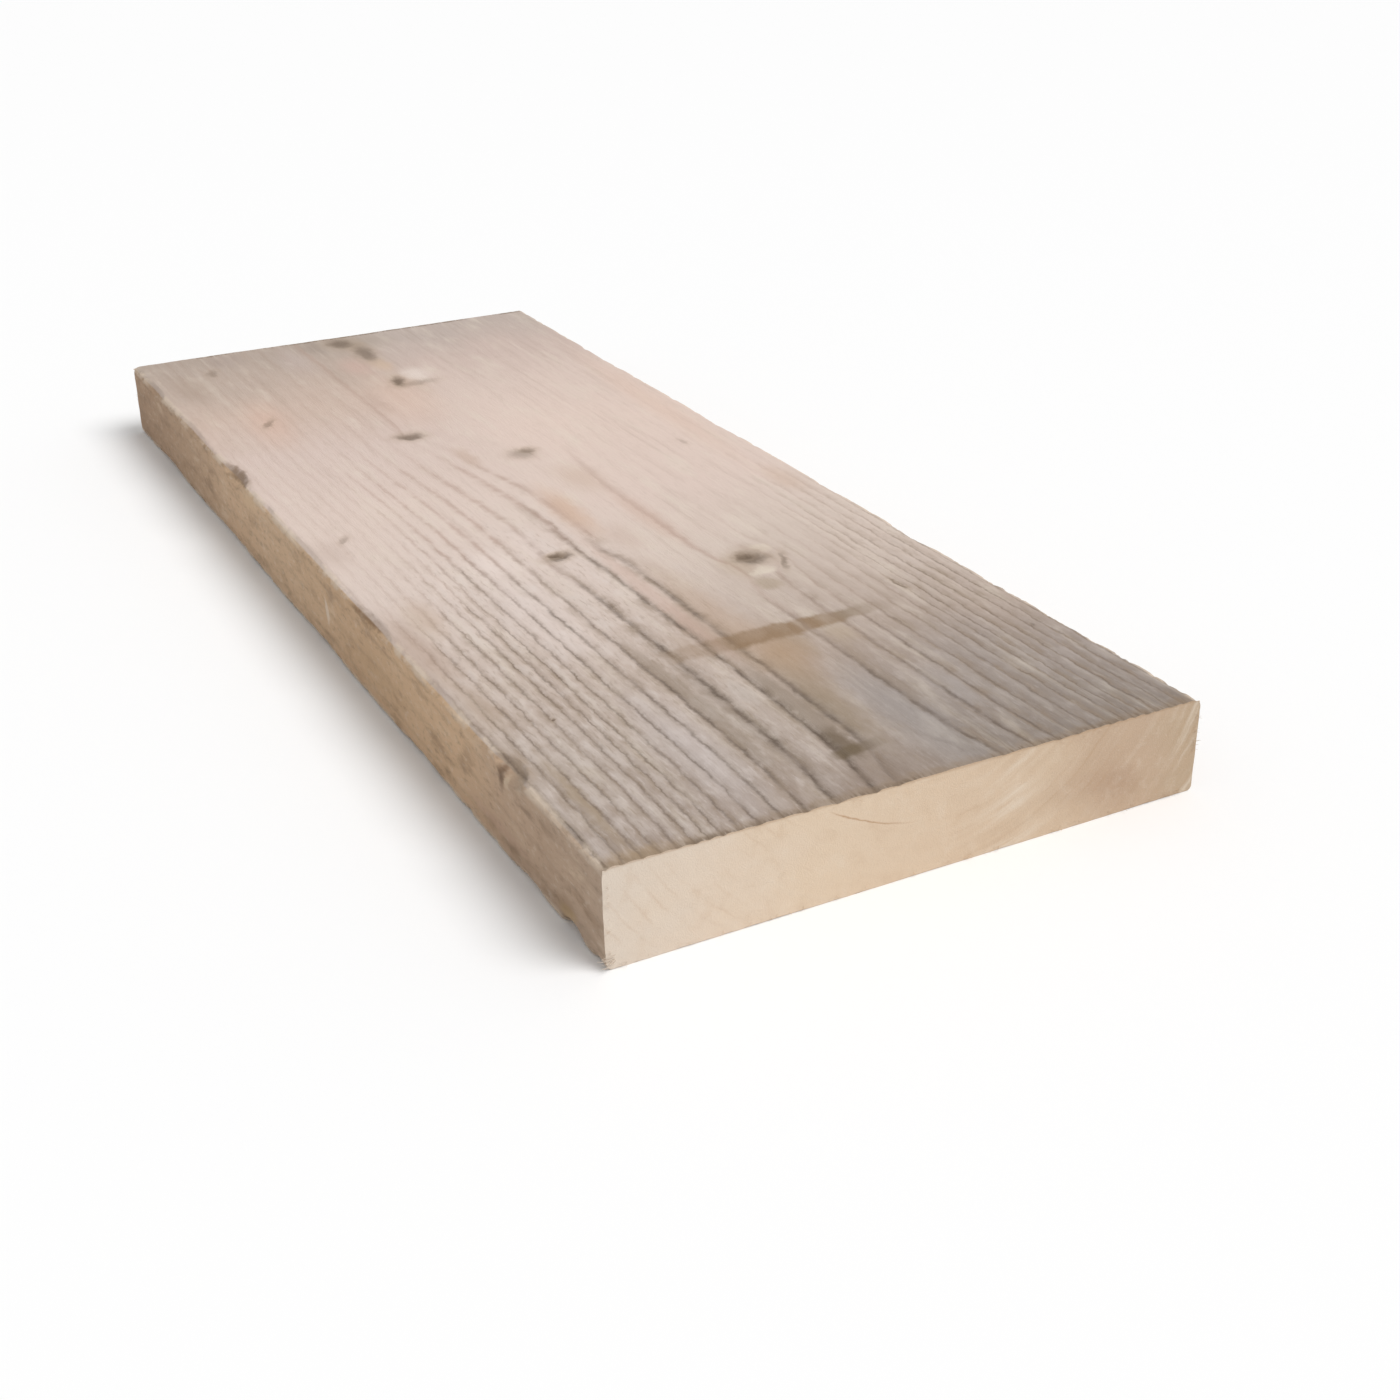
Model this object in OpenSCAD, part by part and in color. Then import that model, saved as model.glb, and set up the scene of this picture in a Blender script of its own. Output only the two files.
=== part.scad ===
// A short length of reclaimed scaffold board: one piece of sawn spruce, weathered on its
// faces, worn along its four long arrises and freshly cut square at both ends.
// Millimetres. X runs across the face, Y along the grain, Z through the thickness.
// The origin is under the middle of the board, on the face that it lies on.

/* [Board] */
// Length along the grain, from sawn end to sawn end
board_length = 500; // [200:1:1200]
// Width across the face
board_width = 195; // [120:1:300]
// Thickness through the board
board_thickness = 31; // [22:1:75]

/* [Arrises] */
// Radius worn on the two upper long arrises
upper_arris_radius = 2.6; // [0.5:0.1:6]
// Radius worn on the two lower long arrises
lower_arris_radius = 1.6; // [0.5:0.1:6]

/* [Wear] */
// Multiplies the depth of every shallow hollow along the arrises
hollow_strength = 1; // [0.2:0.1:1.6]
// Distance from the near end to the knot that has broken out of the upper left arris
knot_break_along = 61; // [20:1:180]
// Length of the knot break
knot_break_length = 24; // [10:1:40]
// Depth of the knot break below the worn arris
knot_break_depth = 2.6; // [0.5:0.1:5]
// Distance from the near end to the pry mark on the upper left arris
pry_mark_along = 334; // [200:1:400]
// Length of the pry mark
pry_mark_length = 36; // [10:1:60]
// Depth of the pry mark below the worn arris
pry_mark_depth = 2.3; // [0.5:0.1:5]

/* [Hidden] */

// Sides of the preview's arris roundings, and of its wide hollow cutters
arris_sides = 64;
hollow_sides = 200;
// How far a cutter runs past the surface that it cuts
overcut = 5;
// The middle of a rounded arris lies this share of its radius inside the square corner
round_inset = sqrt(2) - 1;

// The shallow hollows of general wear, one list for each arris, as
// [distance of the middle from the near end, length, depth below the rounded arris].
// A board longer than wear_pitch has the same hollows again in each further wear_pitch.
wear_pitch = 500;
upper_left_hollows = [
    [22, 40, 0.5], [112, 52, 0.8], [173, 46, 1.3], [243, 62, 0.8],
    [290, 34, 0.5], [398, 58, 0.9], [463, 50, 1.1]
];
upper_right_hollows = [
    [64, 54, 0.5], [148, 40, 0.9], [206, 46, 0.5], [291, 66, 0.7], [402, 74, 0.8]
];
lower_left_hollows = [
    [20, 17, 2.2], [47, 26, 1.0], [128, 70, 0.7], [236, 64, 1.0], [352, 80, 0.8],
    [445, 62, 1.4]
];
lower_right_hollows = [
    [36, 44, 0.8], [139, 76, 0.7], [262, 58, 1.1], [377, 84, 0.6], [461, 40, 1.2]
];

// Radius of the circle whose arc sinks by depth between the ends of a chord
function arc_radius(chord, depth) = (chord * chord / 4 + depth * depth) / (2 * depth);

// The board before any wear, with its near end at Y = 0
module square_blank() {
    translate([-board_width / 2, 0, 0])
        cube([board_width, board_length, board_thickness]);
}

// What wear takes off a long edge to leave it round. The square edge runs along Y through the
// origin, and the board lies towards -X and -Z.
module arris_rounding(radius) {
    translate([0, -overcut, 0])
        rotate([-90, 0, 0])
            linear_extrude(board_length + 2 * overcut)
                difference() {
                    translate([-radius, -overcut])
                        square(radius + overcut);
                    translate([-radius, radius])
                        circle(radius, $fn = arris_sides);
                }
}

// A hollow worn across the same edge: a wide cylinder lies over it, square to the grain and
// leaning evenly on both faces, and its arc sinks into the wood between the hollow's two ends.
// The depth is counted from the rounded arris, and radius is that arris's own.
module arris_hollow(along, span, depth, radius) {
    sink = depth + round_inset * radius;
    cutter_radius = arc_radius(span, sink);
    translate([0, along, 0])
        rotate([0, 45, 0])
            translate([0, 0, cutter_radius - sink])
                rotate([0, 90, 0])
                    cylinder(
                        r = cutter_radius, h = 2 * (sink + overcut),
                        center = true, $fn = hollow_sides
                    );
}

// The rounding of one arris, with its shallow hollows all along the board
module worn_arris(radius, hollows) {
    arris_rounding(radius);
    for (turn = [0 : ceil(board_length / wear_pitch) - 1], hollow = hollows)
        arris_hollow(
            turn * wear_pitch + hollow[0], hollow[1], hollow_strength * hollow[2], radius
        );
}

// Turns a cutter made for the +X, +Z edge to the long edge on the given sides, each 1 or -1
module on_edge(side_x, side_z) {
    translate([side_x * board_width / 2, 0, board_thickness * (1 + side_z) / 2])
        rotate([0, 45 - atan2(side_z, side_x), 0])
            children();
}

module plank() {
    color("tan")
        translate([0, -board_length / 2, 0])
            difference() {
                square_blank();
                on_edge(-1, 1) {
                    worn_arris(upper_arris_radius, upper_left_hollows);
                    arris_hollow(
                        knot_break_along, knot_break_length, knot_break_depth, upper_arris_radius
                    );
                    arris_hollow(
                        pry_mark_along, pry_mark_length, pry_mark_depth, upper_arris_radius
                    );
                }
                on_edge(1, 1) worn_arris(upper_arris_radius, upper_right_hollows);
                on_edge(-1, -1) worn_arris(lower_arris_radius, lower_left_hollows);
                on_edge(1, -1) worn_arris(lower_arris_radius, lower_right_hollows);
            }
}

plank();
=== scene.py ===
import math

import bpy
from mathutils import Matrix, Vector


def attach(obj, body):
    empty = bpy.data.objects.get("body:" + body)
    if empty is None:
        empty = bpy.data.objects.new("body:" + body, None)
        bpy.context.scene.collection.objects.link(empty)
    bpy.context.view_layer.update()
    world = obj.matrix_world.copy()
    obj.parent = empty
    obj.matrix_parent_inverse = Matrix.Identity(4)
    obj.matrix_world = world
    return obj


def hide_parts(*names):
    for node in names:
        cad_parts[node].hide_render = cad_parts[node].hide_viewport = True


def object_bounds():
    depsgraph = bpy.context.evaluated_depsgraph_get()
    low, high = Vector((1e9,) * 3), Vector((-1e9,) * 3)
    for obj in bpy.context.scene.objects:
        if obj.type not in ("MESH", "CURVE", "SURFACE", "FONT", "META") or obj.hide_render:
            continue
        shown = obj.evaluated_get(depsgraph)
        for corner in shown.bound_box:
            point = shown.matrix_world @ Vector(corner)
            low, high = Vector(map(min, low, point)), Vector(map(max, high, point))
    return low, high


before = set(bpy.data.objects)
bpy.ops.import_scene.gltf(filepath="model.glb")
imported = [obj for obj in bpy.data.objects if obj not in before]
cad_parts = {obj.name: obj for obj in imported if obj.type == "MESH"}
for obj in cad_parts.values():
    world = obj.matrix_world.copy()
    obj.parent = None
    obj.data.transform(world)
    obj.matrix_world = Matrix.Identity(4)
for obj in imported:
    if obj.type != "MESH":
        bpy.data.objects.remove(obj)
cadLow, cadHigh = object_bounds()
mmPerMetre = 1000.0
width, length, thickness = [(b - a) * mmPerMetre for a, b in zip(cadLow, cadHigh)]
print("frame loaded:", round(width), "x", round(length), "x", round(thickness), "mm")


# A value that a node hands on. Arithmetic on it adds Math nodes, so a rule reads as a formula.
class Wire:
    def __init__(self, socket):
        self.socket = socket
        self.tree = socket.id_data

    def math(self, operation, *others):
        inputs = dict(enumerate((self, *others)))
        return wireFrom(self.tree, "ShaderNodeMath", inputs, operation=operation)

    def __add__(self, other):
        return self.math("ADD", other)

    def __sub__(self, other):
        return self.math("SUBTRACT", other)

    def __rsub__(self, other):
        return self.math("MULTIPLY_ADD", -1.0, other)

    def __mul__(self, other):
        return self.math("MULTIPLY", other)

    def __truediv__(self, other):
        return self.math("DIVIDE", other)


def plug(value, socket):
    if isinstance(value, Wire):
        value.tree.links.new(value.socket, socket)
    else:
        socket.default_value = value


# A new node. Its inputs go by name or by number, and are filled once its settings are made
def addNode(tree, kind, inputs=None, **settings):
    node = tree.nodes.new(kind)
    for name, value in settings.items():
        setattr(node, name, value)
    for name, value in (inputs or {}).items():
        plug(value, node.inputs[name])
    return node


def wireFrom(tree, kind, inputs=None, out=0, **settings):
    return Wire(addNode(tree, kind, inputs, **settings).outputs[out])


def vectorMath(operation, *values, out=0):
    inputs = dict(enumerate(values))
    return wireFrom(values[0].tree, "ShaderNodeVectorMath", inputs, out, operation=operation)


def splitVector(vector):
    node = addNode(vector.tree, "ShaderNodeSeparateXYZ", {0: vector})
    return [Wire(out) for out in node.outputs]


def joinVector(x, y, z):
    tree = next(v for v in (x, y, z) if isinstance(v, Wire)).tree
    return wireFrom(tree, "ShaderNodeCombineXYZ", {0: x, 1: y, 2: z})


# 0 at low and 1 at high, whichever of them is the larger
def ramp(value, low, high):
    inputs = {"Value": value, "From Min": low, "From Max": high}
    return wireFrom(
        value.tree, "ShaderNodeMapRange", inputs, "Result", interpolation_type="SMOOTHSTEP"
    )


# 1 at the centre, falling away on both sides
def bell(value, centre, reach):
    away = (value - centre) / reach
    return (away * away * -1.0).math("EXPONENT")


def mixed(first, second, share):
    return wireFrom(share.tree, "ShaderNodeMix", {0: share, 2: first, 3: second})


def noiseNode(place, grain, seed, detail, roughness):
    offset = (seed * 7.31, seed * -3.17, seed * 5.93)  # far enough that no two seeds look alike
    spot = vectorMath("MULTIPLY_ADD", place, [1 / size for size in grain], offset)
    inputs = {"Vector": spot, "Scale": 1.0, "Detail": detail, "Roughness": roughness}
    return addNode(spot.tree, "ShaderNodeTexNoise", inputs)


# Soft noise about 0.5. grain is the size of a patch across, along and through the board, mm
def noise(place, grain, seed, detail=2.0, roughness=0.5):
    return Wire(noiseNode(place, grain, seed, detail, roughness).outputs[0])


# A curve through (x, y) points, both within 0 to 1
def curveThrough(value, points, handle="VECTOR"):
    node = addNode(value.tree, "ShaderNodeFloatCurve", {"Value": value})
    line = node.mapping.curves[0].points
    for point, spot in zip(line, (points[0], points[-1])):
        point.location = spot
    for x, y in points[1:-1]:
        line.new(x, y)
    for point in line:
        point.handle_type = handle
    node.mapping.update()
    return Wire(node.outputs[0])


# How the board grew and weathered, in sizes and rules that its shape and its finish share
board = {
    "Cell Across": 0.55,  # spacing of the mesh's points before it is thinned, mm
    "Cell Along": 1.1,
    "Cell Through": 0.8,
    "Pith Across": 103.0,  # where the tree's middle ran, from the left edge, mm
    "Pith Above": 42.0,  # and above the top face
    "Left Stretch": 1.07,  # how much wider the rings grew on the left of it
    "Wander": 0.5,  # slow sideways drift of the rings, mm
    "Jag": 1.6,  # short kinks in them, mm
    "Groove Depth": 0.46,  # what the weather took out of the soft wood, mm
    "Knot Depth": 0.8,
    "Saw Depth": 0.12,
    "Arris Chips": 0.8,
    "Seed": 3.0,
}
boardTriangles = 180000  # about as many as the thinned board keeps

# Radii of the ring boundaries about the pith, mm
ringRadii = [
    30, 35.5, 39.3, 42.7, 45.4, 51.5, 56.7, 61.7, 66.9, 71.2, 75.2, 78.4, 81.8, 85.8,
    90.4, 94.4, 98.5, 103, 107.5, 112, 117, 122, 127.5, 133,
]
ringReach = 140.0  # the curve that counts the rings is drawn within this radius, mm

# How far along from the near end the raised grain reaches, at places across the board, mm
grainReach = [
    (0, 190), (10, 220), (28, 250), (45, 265), (62, 260), (86, 290), (104, 230), (121, 200),
    (135, 190), (157, 190), (180, 260), (195, 240),
]
reachSpan = (195.0, 500.0)  # the curve through them is drawn within this, across and along

# Where a knot pushes the rings aside:
# along, across, reach along, reach across, how far to the right
ringNudges = [
    (100, 79, 110, 10, 3.4), (195, 91, 9, 5, -3.5), (186, 71, 16, 6, -1.5), (150, 123, 14, 7, 4.0),
    (157, 139, 14, 8, 7.0), (336, 77, 16, 9, -1.6), (345, 82, 16, 6, -3.0), (302, 99, 16, 9, -2.0),
    (414, 90, 20, 9, -5.0), (424, 121, 18, 9, 5.0), (388, 36, 12, 7, 2.5), (232, 72, 26, 5, 1.6),
    (228, 84, 14, 5, 1.4),
]

# Knots in the top face:
# along, across, half length, half width, lean, depth share, darkness
topKnots = [
    (193.5, 76.2, 3.4, 5.2, 20, 1.0, 0.7),
    (195.5, 75.0, 1.8, 2.8, 20, 1.0, 0.7),
    (342.0, 76.0, 4.6, 5.6, -8, 0.8, 0.66),
    (302.5, 111.6, 2.8, 3.0, 0, 0.5, 0.5),
    (299.5, 107.5, 5.8, 5.2, 0, 0.1, 0.36),
    (160.0, 133.2, 6.4, 6.0, 0, 0.8, 0.72),
    (162.5, 132.0, 2.8, 3.2, 0, 0.9, 0.5),
    (417.5, 98.4, 7.6, 3.0, -11, 0.7, 0.72),
    (411.0, 106.0, 3.6, 9.0, 10, 0.1, 0.25),
    (468.0, 100.4, 14.0, 4.4, -3, 0.6, 0.56),
    (489.0, 95.2, 8.5, 6.2, 0, 0.5, 0.58),
    (388.0, 30.5, 6.5, 1.7, -28, 0.5, 0.4),
    (471.0, 29.0, 6.0, 2.2, -15, 0.3, 0.3),
    (245.5, 15.5, 3.6, 1.6, -25, 0.3, 0.3),
    (116.0, 164.8, 5.0, 1.0, 0, 0.5, 0.55),
    (81.5, 23.2, 0.9, 0.7, 0, 0.5, 0.7),
    (152.0, 142.0, 7.0, 1.2, -24, 0.4, 0.45),
    (281.0, 170.0, 4.0, 1.4, 0, 0.2, 0.2),
]


# The place moved to where the board's own seed takes its noise from
def shifted(place, seed):
    x, y, z = splitVector(place)
    return joinVector(x + seed * 611.0, y + seed * 947.0, z)


# Circles about a pith that drifts along the board, pushed aside by the knots
def ringCount(place, size):
    across, along, up = splitVector(place)
    own = shifted(place, size["Seed"])
    drift = (noise(own, (70, 95, 70), 1) - 0.5) * size["Wander"] * 2.0
    kink = (noise(own, (8, 9, 8), 2, 4.0, 0.76) - 0.5) * size["Jag"] * 2.0
    moved = across + drift + kink
    for y, x, reachY, reachX, shift in ringNudges:
        moved = moved - bell(along, y, reachY) * bell(across, x, reachX) * shift
    side = moved - size["Pith Across"]
    side = side / mixed(1.0, size["Left Stretch"], ramp(side, 6.0, -6.0))
    above = size["Pith Above"] - bell(along, 0.0, 16.0) * 1.3 - ramp(along, 240.0, 350.0) * 3.8
    drop = above + thickness - up
    radius = (side * side + drop * drop).math("SQRT")
    lastRing = len(ringRadii) - 1
    points = [(0.0, 0.0)] + [(r / ringReach, i / lastRing) for i, r in enumerate(ringRadii)]
    return curveThrough(radius / ringReach, points) * float(lastRing)


# 1 where the grain stands up most, towards the near end, and little where the top is smooth
def grainWear(place):
    across, along, up = splitVector(place)
    wide, far = reachSpan
    points = [(x / wide, y / far) for x, y in grainReach]
    reach = curveThrough(across / wide, points, "AUTO") * far
    reach = reach + (noise(place, (9, 60, 30), 4) - 0.5) * 110.0
    top = ramp(along - reach, 10.0, -150.0) * 0.88 + 0.12
    return mixed(0.3, top, ramp(up - thickness, -6.0, -1.0))


lineReach = 0.085  # half the width of a ring's line, as a share of the ring


# 1 on the thin line at a ring's boundary
def ringLine(rings, reach=lineReach):
    beside = rings - rings.math("ROUND")
    return bell(beside, 0.03, reach)


# 1 in the hollow at a ring's boundary, and 0 on the ridge a third of a ring inside it
def ringHollow(rings):
    phase = rings.math("FRACT")
    return ramp(phase, 0.6, 0.04) + ramp(phase, 0.72, 1.01)


def rightSide(across):
    return across.math("GREATER_THAN", board["Pith Across"])


# 0 at the innermost rings right of the pith, which stayed closed, and 1 at all the others
def openedRings(place, rings):
    across = splitVector(place)[0]
    return 1.0 - ramp(across, 100.0, 106.0) * ramp(rings.math("ROUND"), 3.6, 3.4)


# The few rings near the middle of the top that have opened widest
def boldRings(place, rings):
    across, along, _ = splitVector(place)
    index = rings.math("ROUND")
    middle = bell(index, 4.2, 1.5) * ramp(across, 104.0, 92.0)
    return middle * ramp(along, 230.0, 20.0)


markDepth = 7.0  # how far below the top a mark's oval reaches, mm


# Distance from the middle of an oval mark on the top, 1 on its outline
def markShape(place, mark):
    along, across, halfLength, halfWidth, lean = mark
    centre = (across, along, thickness)
    if lean:
        inputs = {"Vector": place, "Center": centre, "Angle": math.radians(-lean)}
        place = wireFrom(place.tree, "ShaderNodeVectorRotate", inputs, rotation_type="Z_AXIS")
    sizes = (halfWidth, halfLength, markDepth)
    offset = [-c / s for c, s in zip(centre, sizes)]
    spot = vectorMath("MULTIPLY_ADD", place, [1 / s for s in sizes], offset)
    return vectorMath("LENGTH", spot, out="Value")


# One noise in three colours, which raggedPlace turns into a push
def outlineShake(place):
    return Wire(noiseNode(place, (4.5, 6, 5), 30, 3.0, 0.6).outputs["Color"])


# The place pushed about a little, so that no mark drawn with it is a clean oval
def raggedPlace(place, shake, reachX=2.5, reachY=3.0):
    most = (2 * reachX, 2 * reachY, 0.0)
    return vectorMath("ADD", place, vectorMath("MULTIPLY_ADD", shake, most, (-reachX, -reachY, 0.0)))


# A closed box of small cells, laid onto the CAD surface so that it follows the rounded
# arrises and their hollows, and each point's place on the board
def fineSkin(tree, cadBoard, size):
    bounds = addNode(tree, "GeometryNodeBoundBox", {0: cadBoard})
    low, high = Wire(bounds.outputs["Min"]), Wire(bounds.outputs["Max"])
    extent = vectorMath("SUBTRACT", high, low)
    skin = addNode(tree, "GeometryNodeMeshCube", {"Size": extent})
    sides = zip(splitVector(extent), ("X", "Y", "Z"), ("Across", "Along", "Through"))
    for side, axis, way in sides:
        cells = (side * mmPerMetre / size["Cell " + way]).math("ROUND")
        plug(cells + 1.0, skin.inputs["Vertices " + axis])

    here = wireFrom(tree, "GeometryNodeInputPosition")
    middle = vectorMath("MULTIPLY", vectorMath("ADD", low, high), (0.5, 0.5, 0.5))
    inputs = {0: cadBoard, "Sample Position": vectorMath("ADD", here, middle)}
    nearest = wireFrom(tree, "GeometryNodeProximity", inputs, "Position", target_element="FACES")
    inputs = {"Geometry": Wire(skin.outputs["Mesh"]), "Position": nearest}
    laid = wireFrom(tree, "GeometryNodeSetPosition", inputs)
    # places in mm: across from the left edge, along from the near end, up from the underside
    place = vectorMath("MULTIPLY", vectorMath("SUBTRACT", here, low), (mmPerMetre,) * 3)
    return laid, place


# How far the weather and wear have cut below the CAD surface, mm
def wornDepth(place, size):
    across, along, up = splitVector(place)
    own = shifted(place, size["Seed"])
    rings = ringCount(place, size)
    wear = grainWear(place)
    onTop = ramp(up - thickness, -5.0, -1.0)
    bold = boldRings(place, rings) * onTop
    hollow = ringHollow(rings) * (ramp(noise(own, (5, 26, 8), 5), 0.3, 0.7) * 0.6 + 0.5)
    hollow = hollow * openedRings(place, rings)
    depth = hollow * wear * (bold * 0.2 + 0.8) * size["Groove Depth"]
    depth = depth + ringLine(rings) * bold * wear * 0.22
    depth = depth + ramp(noise(own, (22, 75, 22), 6), 0.35, 0.8) * 0.3
    depth = depth + noise(own, (1.6, 12, 2), 7, 3.0, 0.6) * wear * 0.22
    rough = noise(own, (2.4, 3.6, 2.4), 10, 3.0, 0.65)
    depth = depth + ramp(rough, 0.45, 0.75) * wear * 0.16
    shaken = raggedPlace(place, outlineShake(place))
    for *mark, share, _ in topKnots:
        if share >= 0.3:  # the others are too shallow to cut
            dent = ramp(markShape(shaken, mark), 1.15, 0.3)
            depth = depth + dent * size["Knot Depth"] * share * 0.8
    fromEdge = across.math("MINIMUM", width - across)
    fromFace = up.math("MINIMUM", thickness - up)
    arris = ramp(fromEdge + fromFace, 3.6, 0.9)
    chipped = ramp(noise(own, (14, 7, 14), 8, 3.0, 0.65), 0.45, 0.72)
    return depth + chipped * arris * size["Arris Chips"]


# Every tree here starts with the board, its sizes and its finish as named inputs
def startTree(name, sizes, finish):
    tree = bpy.data.node_groups.new(name, "GeometryNodeTree")
    face = tree.interface
    face.new_socket("Board", in_out="INPUT", socket_type="NodeSocketGeometry")
    for label, value in sizes.items():
        face.new_socket(label, in_out="INPUT", socket_type="NodeSocketFloat").default_value = value
    face.new_socket("Finish", in_out="INPUT", socket_type="NodeSocketMaterial").default_value = finish
    face.new_socket("Board", in_out="OUTPUT", socket_type="NodeSocketGeometry")
    given = addNode(tree, "NodeGroupInput")
    return tree, {out.name: Wire(out) for out in given.outputs if out.name}


# Every tree here ends this way, because only plain meshes with a finish are kept
def finishTree(tree, mesh, finish):
    realized = wireFrom(tree, "GeometryNodeRealizeInstances", {"Geometry": mesh})
    inputs = {"Geometry": realized, "Material": finish}
    finished = wireFrom(tree, "GeometryNodeSetMaterial", inputs)
    addNode(tree, "NodeGroupOutput", {0: finished})


# Every point keeps its place on the board, which the finish is drawn by
def keepPlace(mesh, place):
    inputs = {"Geometry": mesh, "Name": "boardPlace", "Value": place}
    return wireFrom(
        mesh.tree, "GeometryNodeStoreNamedAttribute", inputs,
        data_type="FLOAT_VECTOR", domain="POINT"
    )


def makeBoardTree(finish):
    tree, given = startTree("weatheredBoard", board, finish)
    laid, place = fineSkin(tree, given["Board"], given)
    kept = keepPlace(laid, place)

    # long faces are cut inwards only, and a sawn end gets its own fine marks
    depth = wornDepth(place, given)
    normal = wireFrom(tree, "GeometryNodeInputNormal")
    inwards = vectorMath("NORMALIZE", vectorMath("MULTIPLY", normal, (-1.0, 0.0, -1.0)))
    inX, _, inZ = splitVector(inwards)
    facingY = splitVector(normal)[1]
    sawn = facingY.math("ABSOLUTE").math("GREATER_THAN", 0.95)
    sawMarks = noise(place, (34, 1, 2.2), 9, 3.0, 0.6) * given["Saw Depth"] * sawn
    push = joinVector(inX * depth, facingY * sawMarks * -1.0, inZ * depth)
    inMetres = vectorMath("MULTIPLY", push, (1 / mmPerMetre,) * 3)
    worn = wireFrom(tree, "GeometryNodeSetPosition", {"Geometry": kept, "Offset": inMetres})
    smooth = wireFrom(tree, "GeometryNodeSetShadeSmooth", {"Geometry": worn})
    finishTree(tree, smooth, given["Finish"])
    return tree


# Fibres that the saw left standing on the rims of both ends
sawFuzz = {
    "Fibre Length": 2.4,  # mm
    "Fibre Thickness": 0.24,
    "Fibre Share": 1.0,  # scales how many there are
    "Fuzz Seed": 11.0,
}
# Rows of them on one end: how many, the row's two corners (across, along, up), how far each
# is turned about X and Z at least and at most, in degrees, and its least and greatest size
fuzzRows = [
    (70, (4, 0, 0.7), (width - 4, 0, 1.4), (0, -70), (18, 70), (0.35, 0.9)),
    (22, (4, 0, thickness - 1.9), (width - 4, 0, thickness - 1.3), (0, -50), (8, 50), (0.3, 0.6)),
    (12, (1.3, 0, 4), (1.9, 0, thickness - 4), (-10, -80), (20, -30), (0.35, 0.9)),
    (12, (width - 1.9, 0, 4), (width - 1.3, 0, thickness - 4), (-10, 30), (20, 80), (0.35, 0.9)),
    (9, (1.4, 0, 2.0), (3.0, 0, 5.0), (0, -85), (30, -50), (1.0, 1.7)),
]


def makeFibre(tree, size):
    long = size["Fibre Length"]
    # it starts inside the wood and lifts towards its tip
    shape = {"Start": (0.0, 0.25, 0.0), "Middle": (0.15, -0.5, 0.0), "End": (-0.15, -1.0, 0.3)}
    bend = {"Resolution": 4}
    for name, spot in shape.items():
        bend[name] = vectorMath("MULTIPLY", joinVector(long, long, long), spot)
    rim = {"Resolution": 3, "Radius": size["Fibre Thickness"] * 0.5}
    inputs = {
        "Curve": wireFrom(tree, "GeometryNodeCurveQuadraticBezier", bend),
        "Profile Curve": wireFrom(tree, "GeometryNodeCurvePrimitiveCircle", rim),
        "Scale": 1.0 - wireFrom(tree, "GeometryNodeSplineParameter", out="Factor") * 0.7,
        "Fill Caps": True,
    }
    return wireFrom(tree, "GeometryNodeCurveToMesh", inputs)


# A value of its own for each point, between two vectors
def scattered(tree, low, high, seed):
    inputs = {0: low, 1: high, "Seed": seed}
    return wireFrom(tree, "FunctionNodeRandomValue", inputs, data_type="FLOAT_VECTOR")


def joined(tree, parts):
    node = addNode(tree, "GeometryNodeJoinGeometry")
    for part in parts:
        plug(part, node.inputs[0])
    return Wire(node.outputs[0])


# One row of fibres, with seeds for their places, turns and sizes
def makeRow(tree, fibre, row, share, seed):
    count, low, high, turnLow, turnHigh, (small, large) = row
    turns = [[math.radians(v) for v in (turn[0], 0, turn[1])] for turn in (turnLow, turnHigh)]
    roots = {
        "Count": (share * float(count)).math("ROUND"),
        "Position": scattered(tree, low, high, seed),
    }
    own = splitVector(scattered(tree, (small,) * 3, (large,) * 3, seed + 2.0))[0]
    inputs = {
        "Points": wireFrom(tree, "GeometryNodePoints", roots),
        "Instance": fibre,
        "Rotation": scattered(tree, *turns, seed + 1.0),
        "Scale": joinVector(own, own, own),
    }
    return wireFrom(tree, "GeometryNodeInstanceOnPoints", inputs)


# Both ends' fibres, in mm from the board's near left lower corner
def makeFuzz(tree, size):
    fibre = makeFibre(tree, size)
    rows = []
    for i, row in enumerate(fuzzRows):
        rows.append(makeRow(tree, fibre, row, size["Fibre Share"], size["Fuzz Seed"] + float(i * 3)))
    nearEnd = wireFrom(tree, "GeometryNodeRealizeInstances", {"Geometry": joined(tree, rows)})
    turned = {"Geometry": nearEnd, "Translation": (width, length, 0.0), "Rotation": (0.0, 0.0, math.pi)}
    farEnd = wireFrom(tree, "GeometryNodeTransform", turned)
    return joined(tree, (nearEnd, farEnd))


# The fibres keep their place on the board too, and then move to where the board is
def placedFuzz(tree, size):
    here = wireFrom(tree, "GeometryNodeInputPosition")
    inputs = {
        "Geometry": keepPlace(makeFuzz(tree, size), here),
        "Translation": tuple(cadLow),
        "Scale": (1 / mmPerMetre,) * 3,
    }
    return wireFrom(tree, "GeometryNodeTransform", inputs)


# The thinned board then gets its fibres, crisp end rims, a flat map and its finish
dressing = {
    "Rim Angle": 40.0,  # an end's edge sharper than this stays crisp, degrees
    "Map Size": 512.0,  # side of the square sheet that the map covers, mm
}
# Where each side of the board goes on that sheet: the axis square to the side, where the side
# lies on it, the axes that run along the sheet's u and v, and where its corner goes, mm
sheetSides = [
    (2, thickness, 0, 1, (4, 6)), (2, 0.0, 0, 1, (205, 6)), (0, 0.0, 2, 1, (406, 6)),
    (0, width, 2, 1, (441, 6)), (1, 0.0, 2, 0, (476, 6)), (1, length, 2, 0, (476, 210)),
]


def onFaces(value):
    settings = {"domain": "FACE", "data_type": "FLOAT_VECTOR"}
    return wireFrom(value.tree, "GeometryNodeFieldOnDomain", {0: value}, **settings)


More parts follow.
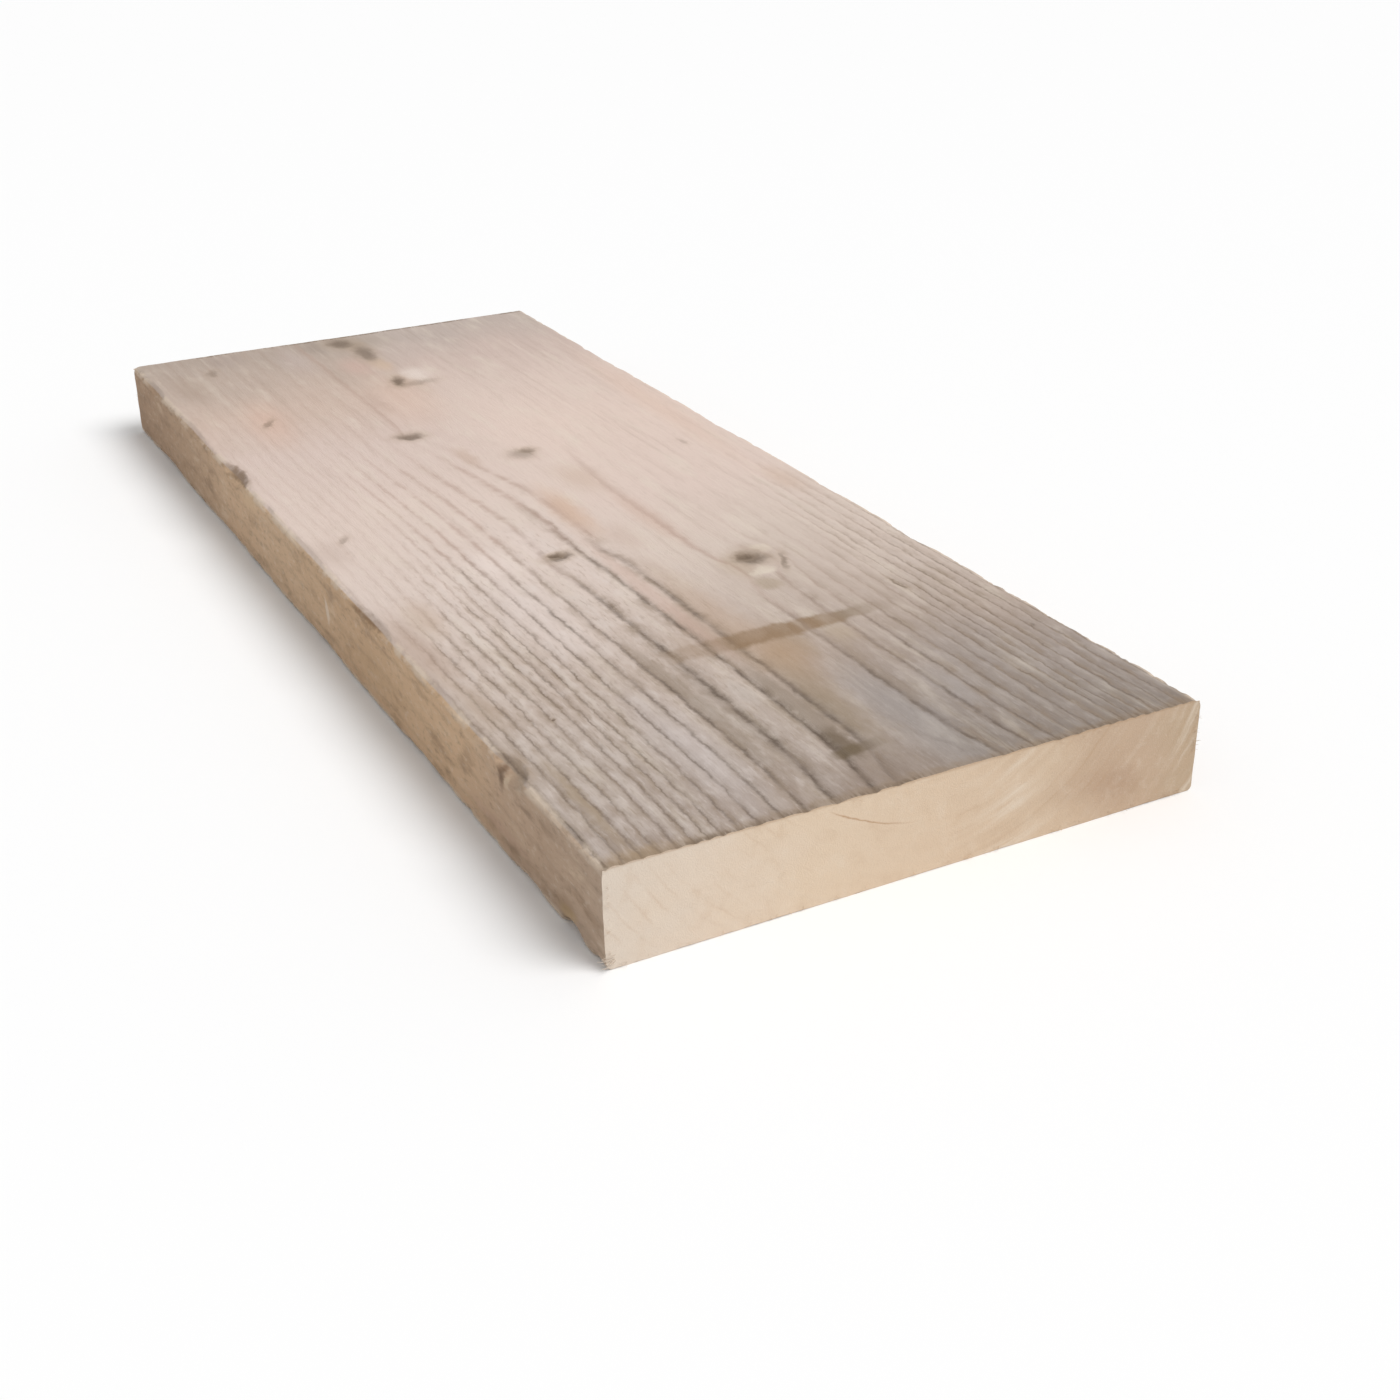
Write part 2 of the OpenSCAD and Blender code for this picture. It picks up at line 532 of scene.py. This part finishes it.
# Each face goes to the side that it lies nearest to
def flatMap(place, sheet):
    faceSpot = splitVector(onFaces(place))
    spot = splitVector(place)
    away = [(faceSpot[axis] - plane).math("ABSOLUTE") for axis, plane, *_ in sheetSides]
    least = away[0]
    for distance in away[1:]:
        least = least.math("MINIMUM", distance)
    # free is 1 until a side has taken the face
    free, mapU, mapV = least * 0.0 + 1.0, least * 0.0, least * 0.0
    for distance, (_, _, axisU, axisV, corner) in zip(away, sheetSides):
        mine = (distance - least).math("LESS_THAN", 1e-4) * free
        free = free - mine
        mapU = mapU + (spot[axisU] + float(corner[0])) * mine
        mapV = mapV + (spot[axisV] + float(corner[1])) * mine
    return joinVector(mapU / sheet, mapV / sheet, 0.0)


def makeDressingTree(finish):
    tree, given = startTree("boardDressing", {**dressing, **sawFuzz}, finish)
    whole = joined(tree, (given["Board"], placedFuzz(tree, given)))
    named = {"Name": "boardPlace"}
    place = wireFrom(tree, "GeometryNodeInputNamedAttribute", named, data_type="FLOAT_VECTOR")
    inputs = {"Geometry": whole, "Name": "OFBake", "Value": flatMap(place, given["Map Size"])}
    mapped = wireFrom(
        tree, "GeometryNodeStoreNamedAttribute", inputs, data_type="FLOAT2", domain="CORNER"
    )

    along = splitVector(place)[1]
    atEnd = along.math("MINIMUM", length - along).math("LESS_THAN", 0.6)  # mm
    angle = wireFrom(tree, "GeometryNodeInputMeshEdgeAngle")
    sharp = angle.math("GREATER_THAN", given["Rim Angle"] * math.radians(1.0))
    inputs = {"Geometry": mapped, "Selection": sharp * atEnd, "Shade Smooth": False}
    crisp = wireFrom(tree, "GeometryNodeSetShadeSmooth", inputs, domain="EDGE")
    finishTree(tree, crisp, given["Finish"])
    return tree


# A modifier's inputs go by their sockets' identifiers
def setInputs(modifier, values):
    for item in modifier.node_group.interface.items_tree:
        if item.in_out == "INPUT" and item.name in values:
            modifier[item.identifier] = values[item.name]


def makeBoard(finish):
    plank = bpy.data.objects.new("weatheredPlank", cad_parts["plank"].data.copy())
    bpy.context.scene.collection.objects.link(plank)
    cells = dict(board)
    shape = plank.modifiers.new("shape", "NODES")
    shape.node_group = makeBoardTree(finish)
    setInputs(shape, {**cells, "Finish": finish})
    thin = plank.modifiers.new("thin", "DECIMATE")
    halfRound = (width + thickness) / cells["Cell Across"]  # cells around half the section
    triangles = 4 * halfRound * length / cells["Cell Along"]  # two to a cell
    thin.ratio = min(1.0, boardTriangles / triangles)
    dress = plank.modifiers.new("dress", "NODES")
    dress.node_group = makeDressingTree(finish)
    setInputs(dress, {**dressing, **sawFuzz, "Finish": finish})
    evaluated = plank.evaluated_get(bpy.context.evaluated_depsgraph_get())
    mesh = bpy.data.meshes.new_from_object(evaluated)
    plank.modifiers.clear()
    plank.data = mesh
    print("board made:", len(mesh.polygons), "faces")
    return plank


# A colour given as 0 to 255 display values
def paint(red, green, blue):
    def linear(value):
        value /= 255
        return value / 12.92 if value <= 0.04045 else ((value + 0.055) / 1.055) ** 2.4

    return (linear(red), linear(green), linear(blue), 1.0)


wood = {
    # tones along the board, from the near end, mm: left part, right part, left edge. They hold the
    # wood's own weathering, greyer at the near end, and painted light too: brightest in the middle
    # where the lamp fell strongest, with painted shade darkening them towards the far end
    "leftTonesAndLight": [
        (8, paint(166, 150, 139)), (50, paint(184, 169, 158)), (90, paint(191, 174, 162)),
        (135, paint(207, 190, 179)), (180, paint(218, 201, 191)), (260, paint(221, 202, 191)),
        (340, paint(215, 195, 185)), (400, paint(206, 184, 170)), (440, paint(193, 174, 161)),
        (490, paint(179, 163, 151)),
    ],
    "rightTonesAndLight": [
        (8, paint(145, 133, 124)), (50, paint(162, 149, 141)), (90, paint(178, 161, 149)),
        (135, paint(199, 182, 170)), (180, paint(213, 196, 184)), (240, paint(221, 201, 190)),
        (330, paint(224, 203, 191)), (390, paint(217, 197, 186)), (440, paint(204, 184, 174)),
        (490, paint(190, 175, 166)),
    ],
    "edgeTonesAndLight": [
        (8, paint(181, 157, 136)), (60, paint(190, 162, 137)), (100, paint(207, 175, 142)),
        (200, paint(199, 167, 134)), (270, paint(204, 174, 143)), (340, paint(204, 173, 142)),
        (400, paint(184, 155, 128)), (490, paint(170, 141, 116)),
    ],
    "cream": paint(226, 214, 198),
    "silver": paint(220, 209, 202),  # the greyer light patches near the end
    "valley": paint(150, 131, 112),
    "line": paint(98, 84, 72),  # the dark colour drawn on the open ring lines
    "fadedLine": paint(176, 148, 134),
    "knot": paint(92, 75, 58),
    "knotRim": paint(178, 156, 134),
    # used for real dirt and scuffs, and for painted contact shade at the foot of the left edge
    "dirtAndShade": paint(122, 104, 86),
    "stain": paint(146, 119, 91),  # the brown band across the top
    "stainRight": paint(146, 127, 106),
    "stainHalo": paint(176, 144, 112),
    "stroke": paint(110, 94, 72),
    "nearRim": paint(146, 124, 100),
    # pale arris strip: rubbed wear, and a painted highlight along the arris
    "arris": paint(222, 204, 184),
    "edgeDark": paint(140, 114, 90),
    "edgePale": paint(216, 194, 168),
    "under": paint(190, 168, 146),
    "sawnTones": [
        (2, paint(214, 200, 185)), (30, paint(217, 199, 180)), (62, paint(216, 195, 171)),
        (105, paint(211, 188, 163)), (140, paint(204, 181, 156)), (170, paint(190, 165, 141)),
        (193, paint(187, 165, 140)),
    ],
    "sawnLine": paint(172, 134, 100),
    "sawnArc": paint(178, 150, 122),
    "sawnBrown": paint(170, 140, 116),
    "sawnTorn": paint(192, 164, 136),
    "sawnRim": paint(176, 146, 116),
}
# Tints and stains on the top:
# along, across, half length, half width, lean, softness, share, colour
topTints = [
    (118, 99, 62, 8, 0, 0.9, 0.45, paint(188, 160, 136)),
    (50, 98, 34, 5, 0, 0.8, 0.5, paint(150, 132, 108)),
    (52, 89.5, 36, 3.8, 0, 0.5, 0.75, paint(148, 132, 117)),
    (28, 88.5, 11, 4.0, 0, 0.6, 0.8, paint(114, 98, 80)),
    (112, 89, 24, 5.0, 0, 0.7, 0.6, paint(166, 140, 120)),
    (68, 65, 52, 3.2, 0, 0.5, 0.55, paint(146, 130, 114)),
    (46, 50, 44, 9, 0, 0.9, 0.4, paint(202, 192, 190)),
    (150, 50, 42, 11, 0, 0.9, 0.4, paint(232, 218, 212)),
    (394, 80, 18, 4, 0, 0.8, 0.4, paint(180, 156, 142)),
    (58, 71.5, 60, 3.6, 0, 0.8, 0.45, paint(146, 132, 120)),
    (7, 88, 14, 19, 0, 0.9, 0.5, paint(140, 122, 108)),
    (92, 128, 9, 6, 0, 0.8, 0.5, paint(170, 148, 124)),
    (214, 120, 32, 5, 0, 0.8, 0.45, paint(204, 175, 158)),
    (306, 87, 14, 4, 0, 0.8, 0.5, paint(194, 168, 150)),
    (452, 14, 24, 8, 0, 0.8, 0.5, paint(170, 150, 135)),
    (66, 103, 34, 5, 0, 0.8, 0.45, paint(158, 138, 116)),
    (94, 111, 14, 6, 0, 0.8, 0.4, paint(160, 138, 112)),
    (106, 80, 12, 4, 0, 0.8, 0.4, paint(168, 144, 124)),
    (68, 80, 10, 3.4, 0, 0.8, 0.4, paint(180, 168, 158)),
    (412, 104, 20, 5, 0, 0.9, 0.4, paint(192, 172, 156)),
    (34, 10.5, 30, 2.2, 0, 0.8, 0.45, paint(156, 135, 106)),
    (2, 11, 4, 15, 0, 0.8, 0.5, paint(166, 140, 106)),
    (144, 6, 36, 7, 0, 0.8, 0.5, paint(176, 150, 132)),
    (490, 82, 14, 7, 0, 0.8, 0.45, paint(156, 142, 132)),
    # painted shadow in the nick at the left arris
    (334, 1.4, 16, 3.4, 0, 0.5, 0.85, paint(138, 114, 92)),
    (61, 2.0, 12, 4.2, 0, 0.6, 0.75, paint(164, 142, 120)),
    # painted shadow in the dent at the left arris
    (176, 0.5, 19, 2.2, 0, 0.6, 0.6, paint(158, 132, 106)),
    (32, 115, 44, 9, 0, 0.9, 0.4, paint(158, 152, 150)),
    (6, 64, 9, 4, 0, 0.8, 0.45, paint(150, 130, 114)),
    (198, 54, 16, 10, 0, 0.9, 0.4, paint(238, 222, 214)),
    (212, 71.5, 20, 4.5, 0, 0.9, 0.45, paint(236, 220, 212)),
    (8, 55, 8, 4, 0, 0.8, 0.4, paint(192, 178, 168)),
    (200, 104, 14, 6, 0, 0.9, 0.45, paint(200, 176, 162)),
    (236, 7, 14, 7, 0, 0.8, 0.45, paint(196, 176, 164)),
    (488, 40, 12, 8, 0, 0.8, 0.45, paint(164, 146, 138)),
    (262, 116, 18, 9, 0, 0.9, 0.5, paint(202, 178, 160)),
    (168, 16, 18, 6, 0, 0.8, 0.5, paint(194, 170, 150)),
    (98, 8, 16, 6, 0, 0.8, 0.5, paint(172, 150, 130)),
    (472, 68, 24, 8, 0, 0.9, 0.4, paint(200, 184, 178)),
    (224, 184, 16, 6, 0, 0.8, 0.45, paint(204, 178, 158)),
    (44, 136, 16, 5, 0, 0.8, 0.4, paint(178, 170, 166)),
    (150, 89.5, 54, 3.4, 0, 0.7, 0.5, paint(204, 176, 162)),
    (232, 97, 28, 6.5, -3, 0.9, 0.6, paint(206, 172, 146)),
    (390, 92, 40, 14, -8, 0.9, 0.4, paint(220, 190, 174)),
    (448, 90, 16, 8, 0, 0.8, 0.5, paint(204, 172, 160)),
    (446, 101, 12, 5, 0, 0.8, 0.5, paint(210, 182, 156)),
    (388, 31, 34, 10, -6, 0.9, 0.5, paint(214, 180, 162)),
    (330, 183, 90, 7, -2, 0.9, 0.35, paint(220, 190, 172)),
    (488, 104, 16, 16, 0, 0.9, 0.5, paint(168, 154, 140)),
    (154, 125, 13, 6, 0, 0.7, 0.4, paint(190, 170, 148)),
    (137, 127.5, 6.0, 4.8, 20, 0.5, 0.5, paint(168, 150, 126)),
    # painted highlight: a cream spot between the tan patch and the knot
    (147, 131, 3.6, 5.4, 20, 0.5, 0.7, paint(222, 209, 192)),
    (166, 141, 3.4, 4.4, 0, 0.6, 0.5, paint(224, 210, 192)),
    (424, 109, 12, 6.6, 0, 0.8, 0.7, paint(228, 214, 204)),
]
# Marks on the left edge: along, up, half length, half height, lean, softness, share, colour
edgeMarks = [
    (56, 29.5, 8, 3.2, 0, 0.8, 0.5, paint(158, 140, 122)),
    (66.0, 26.2, 1.9, 4.8, 14, 0.9, 0.75, paint(106, 82, 62)),
    (62.2, 25.6, 1.8, 2.2, 0, 0.5, 0.8, paint(204, 182, 156)),
    (23, 5.4, 6.0, 2.4, 10, 0.6, 0.5, paint(192, 164, 118)),
    # painted shadow in the chip at the lower edge
    (21.5, 1.4, 7.6, 2.0, 0, 0.5, 0.75, paint(98, 72, 46)),
    (48, 23.0, 5.4, 1.1, 0, 0.7, 0.5, paint(120, 98, 80)),
    (72, 8.0, 25, 2.2, 0, 0.8, 0.4, paint(190, 158, 138)),
    (24, 7.0, 8, 3.0, 12, 0.7, 0.35, paint(140, 112, 84)),
    # painted shadow along the dented arris
    (178, 29.8, 16, 1.5, 2, 0.6, 0.75, paint(122, 94, 68)),
    (222, 15.5, 1.9, 5.2, 12, 0.5, 0.75, paint(218, 200, 180)),
    (216, 23.0, 4.5, 3.0, 30, 0.8, 0.4, paint(140, 118, 100)),
    # painted shadow of the nick at the arris
    (328, 30.0, 17, 1.5, 7, 0.5, 0.7, paint(120, 96, 72)),
    (312, 26.5, 13, 3.4, 10, 0.7, 0.5, paint(212, 184, 150)),
    (170, 14, 34, 6, 0, 0.9, 0.3, paint(176, 146, 112)),
]


def over(base, colour, share):
    inputs = {0: share, 6: base, 7: colour}
    return wireFrom(share.tree, "ShaderNodeMix", inputs, 2, data_type="RGBA")


# A mark's share of the surface: softness 0 gives it a hard outline, and 1 none at all
def markShare(place, mark, softness):
    return ramp(markShape(place, mark), 1.0 + softness * 0.5, 1.0 - softness)


def tonesAlong(value, reach, stops):
    node = addNode(value.tree, "ShaderNodeValToRGB", {0: value / reach})
    line = node.color_ramp.elements
    for _ in stops[2:]:
        line.new(0.5)
    for stop, (at, colour) in zip(line, stops):
        stop.position = at / reach
        stop.color = colour
    return Wire(node.outputs[0])


# The brown band across the top, narrower to the right, and the warm glow nearer the end
def crossStain(place, uneven):
    across, along, _ = splitVector(place)
    slid = ramp(across, 116.0, 150.0)
    away = (along + uneven * 5.0 - 102.2 - slid * 1.6).math("ABSOLUTE")
    band = ramp(away, 6.8 - slid * 2.0, 3.2 - slid * 1.6)
    band = band * (ramp(across, 82.0, 98.0) * 0.62 + ramp(across, 62.0, 76.0) * 0.38)
    band = band * ramp(across, 160.0, 130.0) * (1.0 - bell(across, 120.0, 1.8) * 0.5)
    halo = bell(along, 89.0, 17.0) * bell(across, 105.0, 9.0)
    return band * (ramp(noise(place, (7, 14, 9), 17, 3.0), 0.3, 0.65) * 0.36 + 0.64), halo


def topColour(place, shaken, rings, wear, fine, blotch):
    across, along, _ = splitVector(place)
    drawn = along + (blotch - 0.5) * 60.0
    # these tones carry painted light in the middle and painted shade towards the far end
    left = tonesAlong(drawn, length, wood["leftTonesAndLight"])
    right = tonesAlong(drawn, length, wood["rightTonesAndLight"])
    colour = over(left, right, ramp(across + (blotch - 0.5) * 30.0, 82.0, 124.0))
    colour = over(colour, wood["cream"], ramp(noise(place, (7, 30, 9), 14, 3.0), 0.5, 0.8) * 0.35)
    colour = grainColour(colour, place, rings, wear, fine)
    for *mark, softness, share, tint in topTints:
        colour = over(colour, tint, markShare(shaken, mark, softness) * share)
    return ringColour(colour, place, rings, wear)


# Patches that differ from ring to ring, then long streaks, then fine flecks
def grainColour(colour, place, rings, wear, fine):
    across, along, _ = splitVector(place)
    spot = joinVector(rings.math("FLOOR") * 5.3 + rightSide(across) * 91.0, along / 15.0, across / 8.0)
    ownPatch = noise(spot, (1, 1, 1), 13, 3.0, 0.6)
    calm = 1.0 - ramp(across, 70.0, 96.0) * 0.6  # the middle and the right are smoother
    hollow = ringHollow(rings) * openedRings(place, rings)
    colour = over(colour, wood["valley"], hollow * ramp(ownPatch, 0.42, 0.64) * wear * 0.62)
    light = (1.0 - hollow) * ramp(ownPatch, 0.56, 0.36)
    colour = over(colour, wood["silver"], light * wear * calm * 0.34)
    streak = noise(place, (2.6, 60, 5), 27, 3.0, 0.6)
    colour = over(colour, wood["valley"], ramp(streak, 0.52, 0.75) * 0.14)
    colour = over(colour, wood["cream"], ramp(streak, 0.48, 0.25) * 0.18)
    colour = over(colour, wood["valley"], ramp(fine, 0.52, 0.72) * (wear * (calm * 0.28 + 0.1) + 0.05))
    return over(colour, wood["silver"], ramp(fine, 0.48, 0.28) * (wear * calm * 0.26 + 0.05))


# The dark ring lines, which fade to a faint warm brown further along
def ringColour(colour, place, rings, wear):
    across, along, _ = splitVector(place)
    index = rings.math("ROUND")
    run = joinVector(index * 3.7 + rightSide(across) * 57.0, along / 12.0, 0.0)
    ownLine = noise(run, (1, 1, 1), 15, 3.0, 0.65)
    bold = boldRings(place, rings)
    faint = 1.0 - ramp(across, 136.0, 152.0) * 0.3 - ramp(across, 52.0, 34.0) * 0.22
    strength = (ramp(ownLine, 0.28, 0.66) * 0.7 + 0.3) * (wear * faint * 0.6 + 0.07 + bold * 0.24)
    strength = strength * openedRings(place, rings)
    strength = strength * (1.0 - bell(index, 5.0, 0.4) * bell(along, 214.0, 24.0) * 0.75)
    # left of the middle the faded lines go on for longer than on the right
    onward = ramp(along, 170.0, 215.0) * ramp(along, 330.0, 290.0) * ramp(across, 30.0, 44.0)
    strength = strength + onward * ramp(across, 98.0, 90.0) * (ramp(ownLine, 0.3, 0.6) * 0.26 + 0.06)
    inner = ramp(index, 2.6, 3.6)  # far along, the innermost rings don't show
    strength = strength * mixed(1.0, inner, ramp(along, 280.0, 310.0))
    strength = strength * (1.0 - ramp(across, 98.0, 124.0) * ramp(along, 185.0, 240.0) * 0.8)
    # one line at the right goes on, though, past the knot that it runs into
    lone = bell(index, 4.0, 0.4) * rightSide(across)
    strength = strength + lone * ramp(along, 140.0, 165.0) * ramp(along, 310.0, 250.0) * 0.34
    strength = strength * (1.0 - bell(index, 3.0, 0.4) * ramp(along, 27.0, 19.0) * 0.6)
    # and one at the left shows again past the far knot
    trail = bell(index, 4.0, 0.4) * ramp(along, 338.0, 352.0) * ramp(across, 98.0, 90.0) * 0.25
    inLine = over(wood["fadedLine"], wood["line"], ramp(wear + bold * 0.3, 0.25, 1.0))
    softened = ringLine(rings, mixed(lineReach, 0.14, ramp(along, 150.0, 230.0)))
    return over(colour, inLine, (softened * (strength + trail)).math("MINIMUM", 0.9))


def topMarks(colour, place, shaken):
    across, along, _ = splitVector(place)
    uneven = noise(place, (4.5, 6, 4.5), 18, 3.0, 0.6) - 0.5
    band, halo = crossStain(place, uneven)
    colour = over(colour, wood["stainHalo"], halo * 0.55)
    stain = over(wood["stain"], wood["stainRight"], ramp(across, 126.0, 140.0))
    colour = over(colour, stain, band * 0.88)
    # the short dark stroke nearer the end
    slanted = along + uneven * 3.0 - (across - 84.0) * 0.12
    stroke = ramp((slanted - 22.5).math("ABSOLUTE"), 3.6, 1.4) * ramp(across, 80.0, 85.0)
    colour = over(colour, wood["stroke"], stroke * ramp(across, 102.0, 90.0) * 0.7)
    # sawdust and dirt along the near rim
    rim = ramp(along + uneven * 7.0, 5.0, 1.0)
    colour = over(colour, wood["nearRim"], rim * 0.45)
    for *mark, _, darkness in topKnots:
        shape = markShape(shaken, mark)
        colour = over(colour, wood["knotRim"], ramp(shape, 2.2, 0.9) * darkness * 0.5)
        colour = over(colour, wood["knot"], ramp(shape, 1.4, 0.3) * darkness)
    return colour


def edgeColour(place, shake, rings, fine, blotch):
    across, along, up = splitVector(place)
    # these tones carry painted light in the middle and painted shade towards the far end
    colour = tonesAlong(along + (blotch - 0.5) * 70.0, length, wood["edgeTonesAndLight"])
    mottle = noise(place, (9, 20, 7), 19, 4.0, 0.6)
    colour = over(colour, wood["edgeDark"], ramp(mottle, 0.5, 0.78) * 0.6)
    colour = over(colour, wood["edgePale"], ramp(mottle, 0.46, 0.22) * 0.5)
    scuffed = noise(place, (3.0, 5.0, 2.4), 32, 3.0, 0.65)
    colour = over(colour, wood["dirtAndShade"], ramp(scuffed, 0.54, 0.72) * 0.3)
    colour = over(colour, wood["cream"], ramp(scuffed, 0.46, 0.28) * 0.22)
    colour = over(colour, wood["dirtAndShade"], ramp(fine, 0.54, 0.76) * 0.35)
    colour = over(colour, wood["dirtAndShade"], ringLine(rings) * 0.14)
    # the left edge's marks: the board is turned on that edge, so that they lie as on a top
    turned = raggedPlace(joinVector(up, along, across + thickness), shake, 1.2, 1.5)
    for *mark, softness, share, tint in edgeMarks:
        colour = over(colour, tint, markShare(turned, mark, softness) * share)
    # painted contact shade: the left edge darkens over its lowest 3 mm, where it meets the floor
    return over(colour, wood["dirtAndShade"], ramp(up, 3.0, 0.4) * 0.4)


def underColour(place, rings, fine):
    cloud = noise(place, (24, 70, 30), 21, 3.0)
    colour = over(wood["under"], wood["valley"], ramp(cloud, 0.4, 0.7) * 0.6)
    colour = over(colour, wood["dirtAndShade"], ramp(fine, 0.55, 0.75) * 0.3)
    return over(colour, wood["fadedLine"], ringLine(rings) * 0.5)


def sawnColour(place, rings):
    across, along, up = splitVector(place)
    cloud = noise(place, (20, 20, 12), 22, 3.0)
    colour = tonesAlong(across + (cloud - 0.5) * 40.0, width, wood["sawnTones"])
    arcs = noise(joinVector(rings * 1.7, across / 34.0, 0.0), (1, 1, 1), 23, 3.0, 0.6)
    toRight = ramp(across, 70.0, 150.0)
    colour = over(colour, wood["sawnArc"], ramp(arcs, 0.5, 0.75) * (toRight * 0.2 + 0.04))
    colour = over(colour, wood["cream"], ramp(arcs, 0.48, 0.25) * 0.1)
    # where the saw left pale streaks
    pale = bell(across, 127.0, 9.0) + ramp(across, 184.0, 193.0)
    colour = over(colour, wood["cream"], ramp(arcs, 0.55, 0.35) * pale * 0.4)
    brown = bell(across, 167.0, 17.0) * bell(up, 12.0, 8.0) * ramp(cloud, 0.36, 0.6)
    colour = over(colour, wood["sawnBrown"], brown * 0.5)
    colour = over(colour, wood["sawnLine"], ringLine(rings) * ramp(cloud, 0.45, 0.7) * 0.16)
    # a short split that follows one ring
    split = bell(rings, 5.64, 0.045) * ramp(across, 66.0, 72.0) * ramp(across, 98.0, 80.0)
    colour = over(colour, wood["sawnLine"], split * 0.75)
    fleck = noise(place, (1.2, 1, 0.8), 24, 3.0, 0.7)
    colour = over(colour, wood["cream"], ramp(fleck, 0.56, 0.78) * 0.3)
    torn = noise(place, (5.5, 1, 6.5), 33, 4.0, 0.65)
    colour = over(colour, wood["sawnTorn"], ramp(torn, 0.5, 0.75) * 0.22)
    colour = over(colour, wood["cream"], ramp(torn, 0.48, 0.28) * 0.14)
    return over(colour, wood["sawnRim"], ramp(thickness - up, 1.3, 0.2) * 0.45)


def makeWood():
    made = bpy.data.materials.new("weatheredSoftwood")
    made.use_nodes = True
    tree = made.node_tree
    shader = tree.nodes["Principled BSDF"]
    place = wireFrom(tree, "ShaderNodeAttribute", out="Vector", attribute_name="boardPlace")
    across, along, up = splitVector(place)
    rings = ringCount(place, board)
    wear = grainWear(place)
    fine = noise(place, (1.2, 6.5, 1.5), 12, 4.0, 0.6)
    blotch = noise(place, (24, 55, 26), 11, 4.0, 0.55)

    fromEdge = across.math("MINIMUM", width - across)
    fromFace = up.math("MINIMUM", thickness - up)
    fromEnd = along.math("MINIMUM", length - along)
    # each of these is 1 on its own side of the board
    isEdge = ramp(fromEdge - fromFace, 0.5, -0.5)
    isUnder = ramp(up, 16.0, 15.0)
    isEnd = ramp(fromEnd, 0.2, 0.1)
    shake = outlineShake(place)
    shaken = raggedPlace(place, shake)
    top = topMarks(topColour(place, shaken, rings, wear, fine, blotch), place, shaken)
    top = over(top, wood["dirtAndShade"], ramp(fromEnd, 3.0, 0.6) * ramp(fine + blotch, 0.95, 1.15) * 0.7)
    long = over(top, underColour(place, rings, fine), isUnder)
    long = over(long, edgeColour(place, shake, rings, fine, blotch), isEdge)
    rubbedAndLit = ramp(noise(place, (7, 12, 7), 20, 4.0, 0.6), 0.38, 0.56)  # patches rubbed clean, which also carry a painted highlight along the arris
    # painted highlight and rubbed wear, paler along the arrises
    long = over(long, wood["arris"], ramp(fromEdge + fromFace, 3.2, 1.4) * rubbedAndLit * 0.7)
    plug(over(long, sawnColour(place, rings), isEnd), shader.inputs["Base Color"])

    # relief too fine for the mesh, mm
    relief = noise(place, (0.45, 7, 0.5), 25, 4.0, 0.7) * mixed(0.21, 0.16, isEnd)
    inputs = {"Strength": 1.0, "Distance": 1 / mmPerMetre, "Height": relief}
    plug(wireFrom(tree, "ShaderNodeBump", inputs), shader.inputs["Normal"])
    plug(mixed(0.95, 0.75, fine), shader.inputs["Roughness"])
    plug(0.25, shader.inputs["Specular IOR Level"])
    return made


camera = {
    "place": (-0.2632, -0.6184, 0.2802),
    "aim": (-0.0170, -0.1517, 0.0155),
    "roll": -0.755,  # degrees
    "lens": 48.55,  # on a sensor 36 wide, mm
}
studio = {
    "floorHalf": 30.0,  # metres
    "floorColour": 0.96,
    "sunFrom": (0.42, -0.52, 0.9),
    "sunStrength": 2.1,
    "sunSpread": 38.0,  # degrees, how soft its shadows are
    "skyStrength": 0.5,
    "backdrop": 1.0,  # how bright the sky itself looks past the floor
}


# Where a camera or a lamp stands, turned to face its aim
def looking(place, aim, roll=0.0):
    turn = (Vector(aim) - Vector(place)).to_track_quat("-Z", "Y").to_matrix().to_4x4()
    return Matrix.Translation(place) @ turn @ Matrix.Rotation(math.radians(roll), 4, "Z")


def makeFloor():
    half = studio["floorHalf"]
    mesh = bpy.data.meshes.new("floor")
    corners = [(-half, -half, 0), (half, -half, 0), (half, half, 0), (-half, half, 0)]
    mesh.from_pydata(corners, [], [(0, 1, 2, 3)])
    ground = bpy.data.objects.new("floor", mesh)
    bpy.context.scene.collection.objects.link(ground)
    paper = bpy.data.materials.new("paper")
    paper.use_nodes = True
    shader = paper.node_tree.nodes["Principled BSDF"]
    plug((studio["floorColour"],) * 3 + (1.0,), shader.inputs["Base Color"])
    plug(0.9, shader.inputs["Roughness"])
    plug(0.1, shader.inputs["Specular IOR Level"])
    mesh.materials.append(paper)


def makeStudio():
    scene = bpy.context.scene
    lens = bpy.data.cameras.new("camera")
    lens.sensor_width = 36.0
    lens.lens = camera["lens"]
    eye = bpy.data.objects.new("camera", lens)
    scene.collection.objects.link(eye)
    eye.matrix_world = looking(camera["place"], camera["aim"], camera["roll"])
    scene.camera = eye
    sun = bpy.data.lights.new("softSun", "SUN")
    sun.energy = studio["sunStrength"]
    sun.angle = math.radians(studio["sunSpread"])
    lamp = bpy.data.objects.new("softSun", sun)
    scene.collection.objects.link(lamp)
    lamp.matrix_world = looking(studio["sunFrom"], (0, 0, 0))
    world = bpy.data.worlds.new("studio")
    world.use_nodes = True
    background = world.node_tree.nodes["Background"]
    plug((1.0, 1.0, 1.0, 1.0), background.inputs["Color"])
    seen = wireFrom(world.node_tree, "ShaderNodeLightPath", out="Is Camera Ray")
    plug(mixed(studio["skyStrength"], studio["backdrop"], seen), background.inputs["Strength"])
    scene.world = world
    scene.view_settings.view_transform = "Standard"


makeStudio()
makeFloor()
print("studio set")
plank = makeBoard(makeWood())
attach(plank, "root")
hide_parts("plank")
